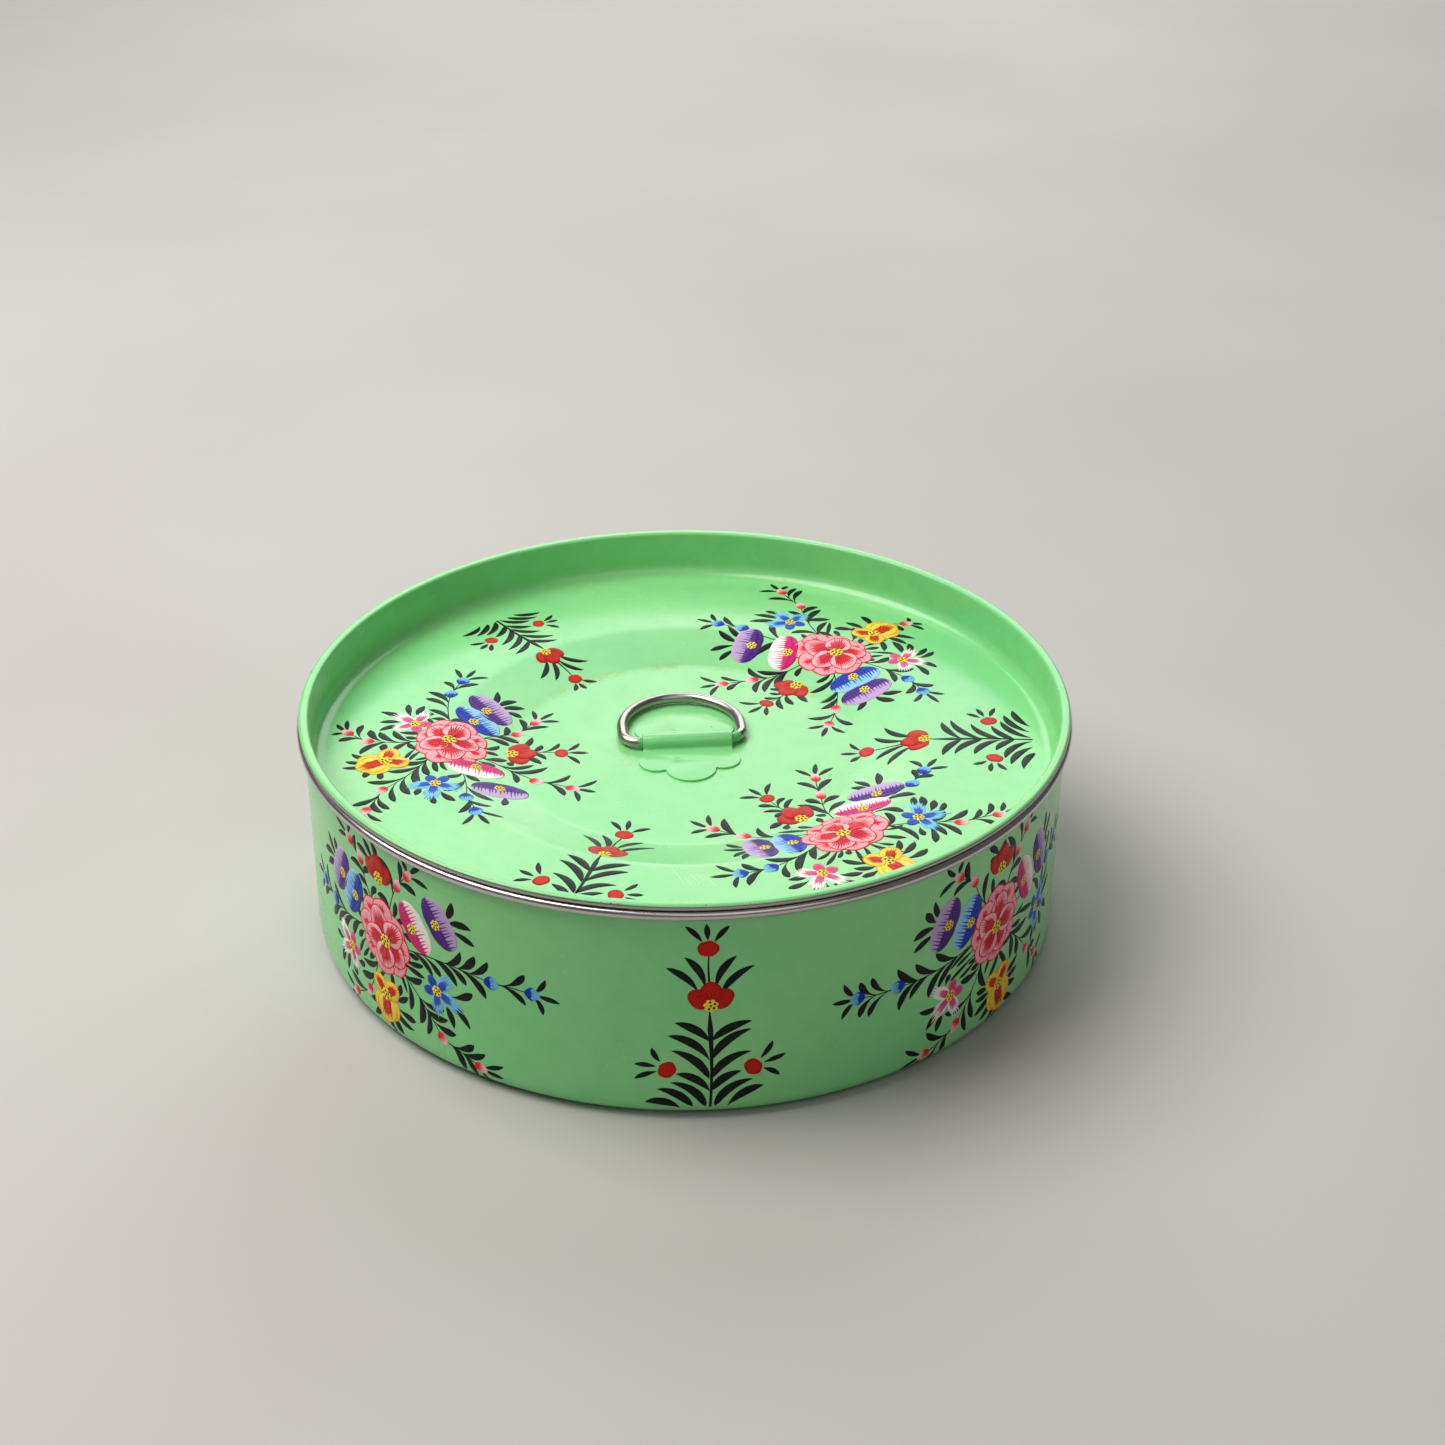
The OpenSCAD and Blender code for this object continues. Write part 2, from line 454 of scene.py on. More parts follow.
def mesh_of(name, bm, materials):
    """Finishes a mesh, with the faces of its closed solids turned outwards."""
    bmesh.ops.recalc_face_normals(bm, faces=bm.faces)
    mesh = bpy.data.meshes.new(name)
    bm.to_mesh(mesh)
    bm.free()
    for material in materials:
        mesh.materials.append(material)
    return mesh


def mark_sharp(bm, outline, rings):
    """Marks the circles at which the outline turns sharply."""
    for k, here in enumerate(outline):
        before, after = outline[k - 1], outline[(k + 1) % len(outline)]
        turn = math.degrees(math.atan2(after[1] - here[1], after[0] - here[0])
                            - math.atan2(here[1] - before[1], here[0] - before[0]))
        if abs((turn + 180) % 360 - 180) > SHARP and here[0] > 1e-6:
            for i in range(SIDES):
                bm.edges.get((rings[k][i], rings[k][(i + 1) % SIDES])).smooth = False


def turned(name, outline, materials, body, node):
    """A closed outline of (radius, height, look) turned about the upright axis, in place of a CAD node."""
    outline = tidy_outline(outline)
    bm = bmesh.new()
    rings = []
    for radius, height, _ in outline:
        if radius < 1e-6:
            rings.append([bm.verts.new((0, 0, height * MM))] * SIDES)
            continue
        ring = []
        for i in range(SIDES):
            angle = 2 * math.pi * i / SIDES
            x, y = radius * math.cos(angle), radius * math.sin(angle)
            ring.append(bm.verts.new((x * MM, y * MM, height * MM)))
        rings.append(ring)
    count = len(outline)
    for k in range(count):
        low, high = rings[k], rings[(k + 1) % count]
        if low[0] is low[1] and high[0] is high[1]:
            continue
        for i in range(SIDES):
            j = (i + 1) % SIDES
            corners = []
            for vert in (low[i], low[j], high[j], high[i]):
                if vert not in corners:
                    corners.append(vert)
            face = bm.faces.new(corners)
            face.material_index = outline[k][2]
            face.smooth = True
    mark_sharp(bm, outline, rings)
    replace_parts(new_piece(name, mesh_of(name, bm, materials), body), node)


def box_outline():
    """Outline of the box: enamel 0 outside, spun steel 1 inside, polished steel 2 on the rolled rim."""
    bend_r = WALL_R - BASE_BEND_R
    slit_r = WALL_R + SLIT
    slit_angle = math.degrees(math.acos((slit_r - ROLL_CENTRE_R) / ROLL_R))
    slit_foot = ROLL_Z - ROLL_R * math.sin(math.radians(slit_angle))
    points = run((0, 0), (bend_r, 0), 0)
    points += arc(bend_r, BASE_BEND_R, BASE_BEND_R, -90, 0, 0, 7.5)
    points += run((WALL_R, BASE_BEND_R), (WALL_R, slit_foot + SLIT_DEPTH), 0)
    points += [(WALL_R, slit_foot + SLIT_DEPTH, 2), (slit_r, slit_foot + SLIT_DEPTH, 2)]
    points += arc(ROLL_CENTRE_R, ROLL_Z, ROLL_R, -slit_angle, 180, 2, 9)
    points += run((WALL_IN_R, ROLL_Z), (WALL_IN_R, BASE_BEND_R), 1)
    points += arc(bend_r, BASE_BEND_R, BASE_BEND_R - SHEET, 0, -90, 1, 7.5)
    points += run((bend_r, SHEET), (0, SHEET), 1)
    points.append((0, SHEET, 1))
    return points


def slope_points(down, look, outward):
    """The dish from its floor out to the flat ring, with both creases rounded, at a depth below the top."""
    turn = math.degrees(DISH_SLOPE)
    inner, outer = CREASE_R - down, CREASE_R + down
    low_r, low_z = DISH_IN_R - CREASE_LEN, FLOOR_Z - down
    high_r, high_z = DISH_OUT_R + CREASE_LEN, FLAT_Z - down
    points = arc(low_r, low_z + outer, outer, -90, -90 + turn, look, 2.5)
    points += arc(high_r, high_z - inner, inner, 90 + turn, 90, look, 2.5)
    return points if outward else points[::-1]


def lid_outline():
    """Outline of the lid: enamel 0 above, worn enamel 1 on the hem, steel 2 below and 3 on the hem's side."""
    bend_r = LID_IN_R - LID_BEND_R
    bend_z = FLAT_Z + LID_BEND_R
    out_r = LID_IN_R + SHEET
    points = run((0, FLOOR_Z), (DISH_IN_R - CREASE_LEN, FLOOR_Z), 0)
    points += slope_points(0, 0, True)
    points += run((DISH_OUT_R + CREASE_LEN, FLAT_Z), (bend_r, FLAT_Z), 0)
    points += arc(bend_r, bend_z, LID_BEND_R, -90, 0, 0, 7.5)
    points += run((LID_IN_R, bend_z), (LID_IN_R, HEM_Z), 0, 2.0)
    points += arc(HEM_IN_R, HEM_Z, HEM_R, 180, 90, 1, 11)
    points += arc(HEM_OUT_R, HEM_Z, HEM_R, 90, 34, 1, 11)
    points += arc(HEM_OUT_R, HEM_Z, HEM_R, 34, -90, 3, 11)
    points += [(out_r + SLIT, HEM_Z - HEM_R, 3), (out_r + SLIT, HEM_Z - HEM_R + SLIT_DEPTH, 2)]
    points += run((out_r, HEM_Z - HEM_R + SLIT_DEPTH), (out_r, bend_z), 2)
    points += arc(bend_r, bend_z, LID_BEND_R + SHEET, 0, -90, 2, 7.5)
    points += run((bend_r, FLAT_Z - SHEET), (DISH_OUT_R + CREASE_LEN, FLAT_Z - SHEET), 2)
    points += slope_points(SHEET, 2, False)
    points += run((DISH_IN_R - CREASE_LEN, FLOOR_Z - SHEET), (0, FLOOR_Z - SHEET), 2)
    points.append((0, FLOOR_Z - SHEET, 2))
    return points


def on_pivot(u, v, z):
    """A point given along and across the ring's pivot, as a place on the lid in metres."""
    c, s = math.cos(STRAP_TURN), math.sin(STRAP_TURN)
    return Vector((STRAP_AT.x + c * u - s * v, STRAP_AT.y + s * u + c * v, z)) * MM


def ring_line():
    """Middle of the ring's wire in the pivot's own plane, from one butt end round to the other."""
    bend_u, bow_v = RING_HALF_W - RING_BEND_R, RING_REACH - RING_HALF_W
    line = [(RING_GAP, 0), (bend_u / 2, 0)]
    for i in range(13):
        line.append(away(bend_u, RING_BEND_R, RING_BEND_R, -90 + 90 * i / 12))
    for i in range(49):
        line.append(away(0, bow_v, RING_HALF_W, 90 * i / 48))
    line += [(-u, v) for u, v in line[-2::-1]]
    return [(u + RING_SHIFT, v) for u, v in line]


def wire_ring(material):
    """The ring as one round wire swept along its line, with slightly rounded butt ends."""
    line = ring_line()
    bm = bmesh.new()
    rings = []
    last = len(line) - 1
    for i, (u, v) in enumerate(line):
        before, after = line[max(0, i - 1)], line[min(last, i + 1)]
        along = Vector((after[0] - before[0], after[1] - before[1]))
        along.normalize()
        side = Vector((-along.y, along.x))
        size = WIRE_R - (0.12 if i in (0, last) else 0)
        ring = []
        for k in range(WIRE_SIDES):
            angle = 2 * math.pi * k / WIRE_SIDES
            out, up = math.cos(angle) * size, math.sin(angle) * size
            ring.append(bm.verts.new(on_pivot(u + side.x * out, v + side.y * out, PIVOT_Z + up)))
        rings.append(ring)
    for low, high in zip(rings, rings[1:]):
        for k in range(WIRE_SIDES):
            m = (k + 1) % WIRE_SIDES
            bm.faces.new((low[k], low[m], high[m], high[k])).smooth = True
    bm.faces.new(rings[0])
    bm.faces.new(rings[-1])
    mesh = mesh_of("wire_ring", bm, (material,))
    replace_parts(new_piece("wire_ring", mesh, "ring"), "handle_ring")


def folded_strap(material):
    """The strap's sheet with its cut edges softened by the enamel over them."""
    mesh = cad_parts["ring_strap"].data.copy()
    mesh.name = "folded_strap"
    mesh.materials.clear()
    mesh.materials.append(material)
    bm = bmesh.new()
    bm.from_mesh(mesh)
    bmesh.ops.remove_doubles(bm, verts=bm.verts, dist=2e-6)
    bmesh.ops.dissolve_limit(bm, angle_limit=math.radians(0.6), verts=bm.verts, edges=bm.edges)
    sharp = [e for e in bm.edges if len(e.link_faces) == 2 and e.calc_face_angle(0) > math.radians(35)]
    bmesh.ops.bevel(bm, geom=sharp, offset=0.13 * MM, segments=3, profile=0.5, affect="EDGES",
                    clamp_overlap=True)
    for face in bm.faces:
        face.smooth = True
    for edge in bm.edges:
        edge.smooth = edge.calc_face_angle(0) < math.radians(30) if len(edge.link_faces) == 2 else True
    bm.to_mesh(mesh)
    bm.free()
    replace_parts(new_piece("folded_strap", mesh, "lid"), "ring_strap")


# ---------------------------------------------------------------- canvas and brush

def lid_top(r):
    """Height of the lid's top face at a radius, and the rise of its slope there."""
    start, end = DISH_IN_R - CREASE_LEN, DISH_OUT_R + CREASE_LEN
    arc_w = CREASE_R * math.sin(DISH_SLOPE)
    if r <= start:
        return FLOOR_Z, 0.0
    if r < start + arc_w:
        angle = math.asin((r - start) / CREASE_R)
        return FLOOR_Z + CREASE_R * (1 - math.cos(angle)), math.tan(angle)
    if r <= end - arc_w:
        rise = math.tan(DISH_SLOPE)
        return FLOOR_Z + (r - DISH_IN_R) * rise, rise
    if r < end:
        angle = math.asin((end - r) / CREASE_R)
        return FLAT_Z - CREASE_R * (1 - math.cos(angle)), math.tan(angle)
    return FLAT_Z, 0.0


class LidCanvas:
    """Drawing plane on the lid: x runs counter-clockwise and y towards the middle, in mm from an anchor."""

    def __init__(self, radius, azimuth):
        angle = math.radians(azimuth)
        self.anchor = Vector((math.cos(angle), math.sin(angle))) * radius
        self.y_way = Vector((-math.cos(angle), -math.sin(angle)))
        self.x_way = Vector((self.y_way.y, -self.y_way.x))

    def plan(self, x, y):
        return self.anchor + self.x_way * x + self.y_way * y

    def holds(self, x, y):
        return self.plan(x, y).length < LID_PAINT_R

    def place(self, x, y, lift):
        at = self.plan(x, y)
        r = at.length
        height, rise = lid_top(r)
        out = at / r if r > 1e-6 else Vector((1, 0))
        size = math.hypot(1, rise)
        back = lift * rise / size
        return Vector((at.x - out.x * back, at.y - out.y * back, height + lift / size)) * MM


class WallCanvas:
    """Drawing plane wrapped round the box: x runs to the right along the wall and y up, from an anchor."""

    def __init__(self, arc_length, height):
        self.anchor = Vector((arc_length, height))

    def holds(self, x, y):
        at = self.anchor + Vector((x, y))
        return WALL_PAINT_LOW < at.y < WALL_PAINT_TOP

    def place(self, x, y, lift):
        at = self.anchor + Vector((x, y))
        angle = at.x / WALL_R
        radius, height = WALL_R + lift, at.y
        if height < BASE_BEND_R:
            bend = (BASE_BEND_R - height) / BASE_BEND_R
            lift += BEND_LIFT if lift > 0 else 0
            radius = WALL_R - BASE_BEND_R + (BASE_BEND_R + lift) * math.cos(bend)
            height = BASE_BEND_R - (BASE_BEND_R + lift) * math.sin(bend)
        return Vector((radius * math.sin(angle), -radius * math.cos(angle), height)) * MM


class Brush:
    """Collects strokes and filled shapes on a canvas, each a thin closed solid, as one painted piece."""

    def __init__(self, canvas, seed):
        self.canvas = canvas
        self.chance = random.Random(seed)
        self.points = []
        self.colours = []
        self.faces = []
        self.shapes = 0
        self.taken = []

    def vary(self, low, high):
        return self.chance.uniform(low, high)

    def settle(self, lift):
        """A hair's breadth from one shape to the next, so that no two of them lie in one plane."""
        self.shapes += 1
        return lift + 0.0011 * (self.shapes % 5)

    def keep_clear(self, x, y, reach):
        """Leaves drawn later stay out of this circle."""
        self.taken.append((x, y, reach))

    def is_free(self, x, y, reach):
        return all((x - a) ** 2 + (y - b) ** 2 > (reach + c) ** 2 for a, b, c in self.taken)

    def vertex(self, x, y, lift, colour):
        self.points.append(self.canvas.place(x, y, lift))
        self.colours.append((*colour, 1.0))
        return len(self.points) - 1

    def stroke(self, line, widths, colours, lift):
        """A domed stroke along a line of points, with half widths and one colour or the two of its ends."""
        lift = self.settle(lift)
        section = ((-1, PAINT_SUNK), (-SHOULDER, lift), (0, lift), (SHOULDER, lift), (1, PAINT_SUNK))
        count = len(line) - 1
        rows = []
        for i, (x, y) in enumerate(line):
            a, b = line[max(0, i - 1)], line[min(count, i + 1)]
            size = math.hypot(b[0] - a[0], b[1] - a[1]) or 1.0
            side = (-(b[1] - a[1]) / size, (b[0] - a[0]) / size)
            width = max(widths[i], 0.03)
            colour = blend(colours[0], colours[-1], i / count)
            row = []
            for across, up in section:
                out = across * width
                row.append(self.vertex(x + side[0] * out, y + side[1] * out, up, colour))
            rows.append(row)
        for a, b in zip(rows, rows[1:]):
            for k in range(5):
                m = (k + 1) % 5
                self.faces.append((a[k], b[k], b[m], a[m]))
        self.faces.append(tuple(rows[0]))
        self.faces.append(tuple(reversed(rows[-1])))

    def fill(self, x, y, reach, colour, lift, steps, rings):
        """A filled shape about a point. reach(angle) is its size and colour(share, angle) its colour."""
        tops, backs = [], []
        lift = self.settle(lift)
        for ring in range(1, rings + 1):
            share = (ring / (rings - 1)) ** 0.8 * EDGE_SHARE if ring < rings else 1.0
            up = lift if ring < rings else PAINT_SUNK
            row, back = [], []
            for k in range(steps):
                angle = 2 * math.pi * k / steps
                out = reach(angle) * share
                at = (x + out * math.cos(angle), y + out * math.sin(angle))
                row.append(self.vertex(*at, up, colour(share, angle)))
                if ring < rings:
                    back.append(self.vertex(*at, PAINT_SUNK - 0.01, colour(share, angle)))
            tops.append(row)
            backs.append(back if back else row)
        top = self.vertex(x, y, lift, colour(0, 0))
        back = self.vertex(x, y, PAINT_SUNK - 0.01, colour(0, 0))
        for k in range(steps):
            m = (k + 1) % steps
            self.faces.append((top, tops[0][k], tops[0][m]))
            self.faces.append((back, backs[0][m], backs[0][k]))
            for a, b in zip(tops, tops[1:]):
                self.faces.append((a[k], b[k], b[m], a[m]))
            for a, b in zip(backs, backs[1:]):
                self.faces.append((a[m], b[m], b[k], a[k]))

    def piece(self, name, body, material):
        mesh = bpy.data.meshes.new(name)
        mesh.from_pydata([tuple(p) for p in self.points], [], self.faces)
        tint = mesh.color_attributes.new("Paint", "FLOAT_COLOR", "POINT")
        flat = [value for colour in self.colours for value in colour]
        tint.data.foreach_set("color", flat)
        mesh.polygons.foreach_set("use_smooth", [True] * len(mesh.polygons))
        bm = bmesh.new()
        bm.from_mesh(mesh)
        bmesh.ops.recalc_face_normals(bm, faces=bm.faces)
        bm.to_mesh(mesh)
        bm.free()
        mesh.materials.append(material)
        return new_piece(name, mesh, body)


# ---------------------------------------------------------------- strokes and petals

def curve(x, y, heading, length, bend, pieces):
    """Points along an arc that starts with a heading and turns by bend, both in degrees."""
    line = [(x, y)]
    for i in range(pieces):
        x, y = away(x, y, length / pieces, heading + bend * (i + 0.5) / pieces)
        line.append((x, y))
    return line


def bowed(start, end, bow, share):
    """The point at a share of the way from start to end, on a line that bows to one side."""
    dx, dy = end[0] - start[0], end[1] - start[1]
    off = 4 * bow * share * (1 - share)
    return start[0] + dx * share - dy * off, start[1] + dy * share + dx * off


def leaf(brush, x, y, heading, length, bend, width, head):
    """A comma-shaped leaf: thin where it leaves the stem and widest at the share head of its length.
    Where another leaf or a flower is in its way, it is drawn a little shorter or turned, or not at all."""
    rise = head / (1 - head)
    for _ in range(LEAF_TRIES):
        line = curve(x, y, heading, length, bend, LEAF_STEPS)
        widths = []
        for i in range(LEAF_STEPS + 1):
            t = i / LEAF_STEPS
            bulge = (t / head) ** (rise * LEAF_FULL) * ((1 - t) / (1 - head)) ** LEAF_FULL if 0 < t < 1 else 0
            widths.append(LEAF_ROOT + width * bulge)
        outer = list(zip(line, widths))[LEAF_STEPS // 2:]
        held = all(brush.canvas.holds(*point) for point in line)
        if held and all(brush.is_free(*point, size + GAP) for point, size in outer):
            brush.stroke(line, widths, (INK,), LEAF_LIFT)
            for point, size in outer:
                brush.keep_clear(*point, size)
            return
        length *= 0.91
        heading += brush.vary(-14, 14)
        bend += brush.vary(-20, 20)


def stem(brush, start, end, bow, width=0.24):
    """A thin stem between two points that bows to one side and thins towards its end."""
    count = max(4, round(math.dist(start, end) / 2))
    line = [bowed(start, end, bow, i / count) for i in range(count + 1)]
    if all(brush.canvas.holds(*point) for point in line):
        widths = [width * (1 - 0.45 * i / count) for i in range(count + 1)]
        brush.stroke(line, widths, (INK,), LEAF_LIFT * 0.9)
        for point in line:
            brush.keep_clear(*point, width * 0.5)


def crown(brush, x, y, heading, length, spread=48, start=1.2):
    """Three small leaves that fan out beyond a bud or a bell."""
    for i in (-1, 0, 1):
        turn = i * spread + brush.vary(-7, 7)
        size = length * brush.vary(0.85, 1.15)
        leaf(brush, *away(x, y, start, heading + turn), heading + turn * 0.8, size,
             turn * 0.6 + brush.vary(-14, 14), 0.80, 0.55)


def leafy_stem(brush, start, end, first, last, gap, length, width, bow=0.05):
    """A stem with pairs of leaves that leave it forwards and curl outwards."""
    stem(brush, start, end, bow)
    heading = way(start, end)
    count = max(1, round(math.dist(start, end) * (last - first) / gap))
    for i in range(count):
        root = bowed(start, end, bow, first + (last - first) * i / count)
        for side in (-1, 1):
            size = length * brush.vary(0.8, 1.15)
            leaf(brush, *root, heading + side * brush.vary(2, 14), size, side * brush.vary(48, 82),
                 width * brush.vary(0.85, 1.15), brush.vary(0.55, 0.76))


def fringe(brush, x, y, heading, reach, spread, count, length):
    """Leaves that stand round one side of a flower."""
    for i in range(count):
        turn = spread * (i / (count - 1) - 0.5) + brush.vary(-5, 5)
        leaf(brush, *away(x, y, reach, heading + turn), heading + turn, length * brush.vary(0.8, 1.15),
             math.copysign(34, turn) + brush.vary(-16, 16), 1.12 * brush.vary(0.85, 1.15),
             brush.vary(0.45, 0.7))


def oval(long, wide, heading, ripple=0.0, lobes=5, phase=0.0, full=2.0):
    """Reach of a rippled oval at each angle, its long axis along a heading. full above 2 makes it squarer."""
    turn = math.radians(heading)

    def reach(angle):
        c, s = abs(math.cos(angle - turn)) / long, abs(math.sin(angle - turn)) / wide
        return (1 + ripple * math.cos(lobes * (angle - turn) + phase)) / (c ** full + s ** full) ** (1 / full)
    return reach


def shaded(middle, edge, power=1):
    """Colour of a filled shape that changes from its middle to its edge."""
    return lambda out, at: blend(middle, edge, out ** power)


def lengthwise(root, tip, heading, shift):
    """Colour of a filled shape that changes along a heading, the later the larger shift is."""
    turn = math.radians(heading)
    return lambda out, at: blend(root, tip, min(1.0, max(0.0, 1 + out * math.cos(at - turn) - shift)))


def outline_stroke(brush, x, y, reach, width, colour, lift, steps, heading, spread):
    """A thin line along a shape's edge, as far as spread degrees to both sides of a heading."""
    line = []
    for i in range(steps + 1):
        angle = math.radians(heading - spread + 2 * spread * i / steps)
        out = reach(angle) - width * 0.4
        line.append((x + out * math.cos(angle), y + out * math.sin(angle)))
    brush.stroke(line, [width] * len(line), (colour,), lift)


def rays(brush, x, y, heading, spread, count, start, length, width, colours, lift, wobble=0.2):
    """Tapered brush lines that fan out from a point, as the red in a petal does."""
    for i in range(count):
        turn = spread * (i / (count - 1) - 0.5)
        size = length * (1 - 0.35 * (2 * turn / spread) ** 2)
        size *= brush.vary(1 - wobble, 1 + wobble)
        line = [away(x, y, start + size * k / 4, heading + turn) for k in range(5)]
        brush.stroke(line, [width * taper for taper in RAY_TAPER], colours, lift)


def dotted_centre(brush, x, y, size, lift):
    """Heart of a flower: a cluster of yellow dabs with black dots on it."""
    def dab(angle, out, reach, colour, up):
        at = (x + out * math.cos(angle), y + out * math.sin(angle))
        brush.fill(*at, lambda angle: reach, shaded(colour, colour), up, 9, 2)
    dab(0, 0, size * 0.72, YELLOW, lift)
    for i in range(7):
        dab(2 * math.pi * i / 7 + 0.3, size * 0.68, size * 0.34, YELLOW, lift + LAYER * 0.4 * (i % 2 + 1))
    for i in range(6):
        dab(2 * math.pi * i / 5 + 0.5, size * 0.55 if i < 5 else 0, size * 0.19, INK, lift + LAYER)


# ---------------------------------------------------------------- flowers

def outer_petal(brush, root, tip, width, lift):
    """A petal at the edge of a rose, lined and outlined in red."""
    heading, size = way(root, tip), math.dist(root, tip)
    middle = blend(root, tip, 0.30)
    reach = oval(size * 0.72, width * 0.37, heading, 0.04, 4, 0.6)
    brush.fill(*middle, reach, shaded(PINK, blend(PINK, PALE_PINK, 0.6)), lift, 22, 3)
    rays(brush, *root, heading, 84, 10, -size * 0.10, size * 0.80, 0.40, (ROSE_RED,),
         lift + LAYER * 0.35, 0.3)
    outline_stroke(brush, *middle, reach, 0.24, ROSE_RED, lift + LAYER * 0.7, 24, heading, 105)


def inner_petal(brush, root, tip, width, lift):
    """A pale petal of a rose with a red heart, brushed out from its root and outlined in red."""
    heading, size = way(root, tip), math.dist(root, tip)
    middle = blend(root, tip, 0.55)
    reach = oval(size * 0.47, width * 0.36, heading, 0.06, 3, 0.5)
    brush.fill(*middle, reach, shaded(PINK, PALE_PINK), lift, 26, 3)
    heart = oval(size * 0.27, width * 0.17, heading)
    brush.fill(*blend(root, tip, 0.38), heart, shaded(ROSE_DEEP, ROSE_RED), lift + LAYER * 0.3, 14, 2)
    rays(brush, *root, heading, 54, 11, size * 0.12, size * 0.86, 0.62, (ROSE_DEEP, ROSE_RED),
         lift + LAYER * 0.6, 0.14)
    outline_stroke(brush, *middle, reach, 0.22, ROSE_RED, lift + LAYER * 0.8, 30, heading, 135)


def rose(brush, x, y, long, wide, heading):
    """An open rose: eight petals at its edge round five larger ones and a dotted heart."""
    turn = math.radians(heading)
    c, s = math.cos(turn), math.sin(turn)
    mean = (long + wide) / 2

    def spot(dx, dy):
        """From a round rose of radius 1 to this oval one."""
        return x + dx * long * c - dy * wide * s, y + dx * long * s + dy * wide * c

    ground = oval(long * 0.92, wide * 0.92, heading, 0.03, 8)
    brush.fill(x, y, ground, shaded(ROSE_RED, PINK), FLOWER_LIFT, 48, 6)
    for i in range(8):
        angle = 2 * math.pi * (i + 0.5) / 8
        c_out, s_out = math.cos(angle), math.sin(angle)
        outer_petal(brush, spot(0.62 * c_out, 0.62 * s_out), spot(c_out, s_out), mean,
                    FLOWER_LIFT + LAYER * (0.8 + 1.2 * (i % 2)))
    lift = FLOWER_LIFT + LAYER * 3.4
    heart_x, heart_y = -0.10, -0.06
    heart = spot(heart_x, heart_y)
    for i in range(5):
        angle = 2 * math.pi * (i + 0.1) / 5
        far = 0.80 + 0.06 * math.cos(angle)
        tip = spot(heart_x + far * math.cos(angle), heart_y + far * math.sin(angle))
        inner_petal(brush, heart, tip, mean, lift + LAYER * 1.1 * (i % 3))
    dotted_centre(brush, *heart, mean * 0.19, lift + LAYER * 4.0)


def two_tone(brush, x, y, heading, tone):
    """A long oval flower, dark to the right of its heading and pale to the left, with a toothed join."""
    long, wide, full, teeth = 8.0, 4.6, 2.5, 15
    dark, pale = TONES[tone]
    turn = math.radians(heading)
    c, s = math.cos(turn), math.sin(turn)

    def colour(out, at):
        side = math.sin(at - turn) * out
        if side < 0:
            return blend(dark, blend(dark, INK, 0.35), min(1.0, -side * 1.2) * out)
        return blend(pale, blend(pale, WHITE, 0.2), out)

    brush.fill(x, y, oval(long, wide, heading, 0.02, 6, 0.0, full), colour, FLOWER_LIFT + LAYER, 40, 5)
    for i in range(teeth):
        along = long * 0.93 * (2 * (i + 0.5) / teeth - 1)
        half = wide * (1 - (abs(along) / long) ** full) ** (1 / full)
        tip = half * brush.vary(0.30, 0.78)
        lean = brush.vary(-0.3, 0.3)
        line = []
        for k in range(5):
            up = along + lean * k / 4
            across = -half * 0.55 + (tip + half * 0.55) * k / 4
            line.append((x + up * c - across * s, y + up * s + across * c))
        width = long / teeth * 0.72
        brush.stroke(line, [width, width, width * 0.8, width * 0.5, 0.03], (dark,), FLOWER_LIFT + LAYER * 1.7)
    dotted_centre(brush, x + wide * 0.30 * s, y - wide * 0.30 * c, 1.65, FLOWER_LIFT + LAYER * 3)


def poppy(brush, x, y, heading, size):
    """A red three-lobed flower seen from the side, its yellow heart at its foot."""
    lift = FLOWER_LIFT + LAYER
    colour = shaded(POPPY, blend(POPPY, POPPY_DEEP, 0.8), 4)
    for turn, far, wide in ((54, 0.56, 0.52), (-54, 0.56, 0.52), (0, 0.62, 0.56)):
        reach = oval(size * 0.60, size * wide, heading + turn, 0.05, 3)
        brush.fill(*away(x, y, size * far, heading + turn), reach, colour, lift, 26, 3)
        lift += LAYER * 0.6
    rays(brush, x, y, heading, 170, 11, size * 0.35, size * 0.42, 0.16, (POPPY_DEEP,), lift + LAYER * 0.3)
    dotted_centre(brush, *away(x, y, -0.02 * size, heading), size * 0.34, lift + LAYER)


def flame_petal(brush, x, y, heading, length, width, lift):
    """A yellow petal with an orange rim and a red heart brushed out from its root."""
    middle = away(x, y, length * 0.52, heading)
    reach = oval(length * 0.5, width * 0.5, heading, 0.04, 3, 0.4)
    brush.fill(*middle, reach, shaded(blend(YELLOW, FLAME, 0.2), YELLOW), lift, 22, 3)
    heart = oval(length * 0.28, width * 0.24, heading)
    brush.fill(*away(x, y, length * 0.30, heading), heart, shaded(FLAME, FLAME), lift + LAYER * 0.3, 14, 2)
    fan = math.degrees(2 * math.atan2(width * 0.40, length))
    rays(brush, x, y, heading, fan, 8, length * 0.12, length * 0.86, width * 0.09, (FLAME,),
         lift + LAYER * 0.6, 0.12)
    rim = blend(YELLOW, ORANGE, 0.6)
    outline_stroke(brush, *middle, reach, 0.15, rim, lift + LAYER * 0.9, 26, heading, 128)


def flame_flower(brush, x, y, heading):
    """Three large flame petals below a dotted heart and two small ones above it."""
    size = 7.8
    lift = FLOWER_LIFT + LAYER
    for turn, length, width in ((150, 1.0, 0.95), (-150, 1.0, 0.95), (180, 1.12, 1.1),
                                (48, 0.85, 0.8), (-48, 0.85, 0.8)):
        flame_petal(brush, x, y, heading + turn, size * length, size * width, lift)
        lift += LAYER * 0.9
    dotted_centre(brush, x, y, size * 0.26, lift + LAYER * 1.5)


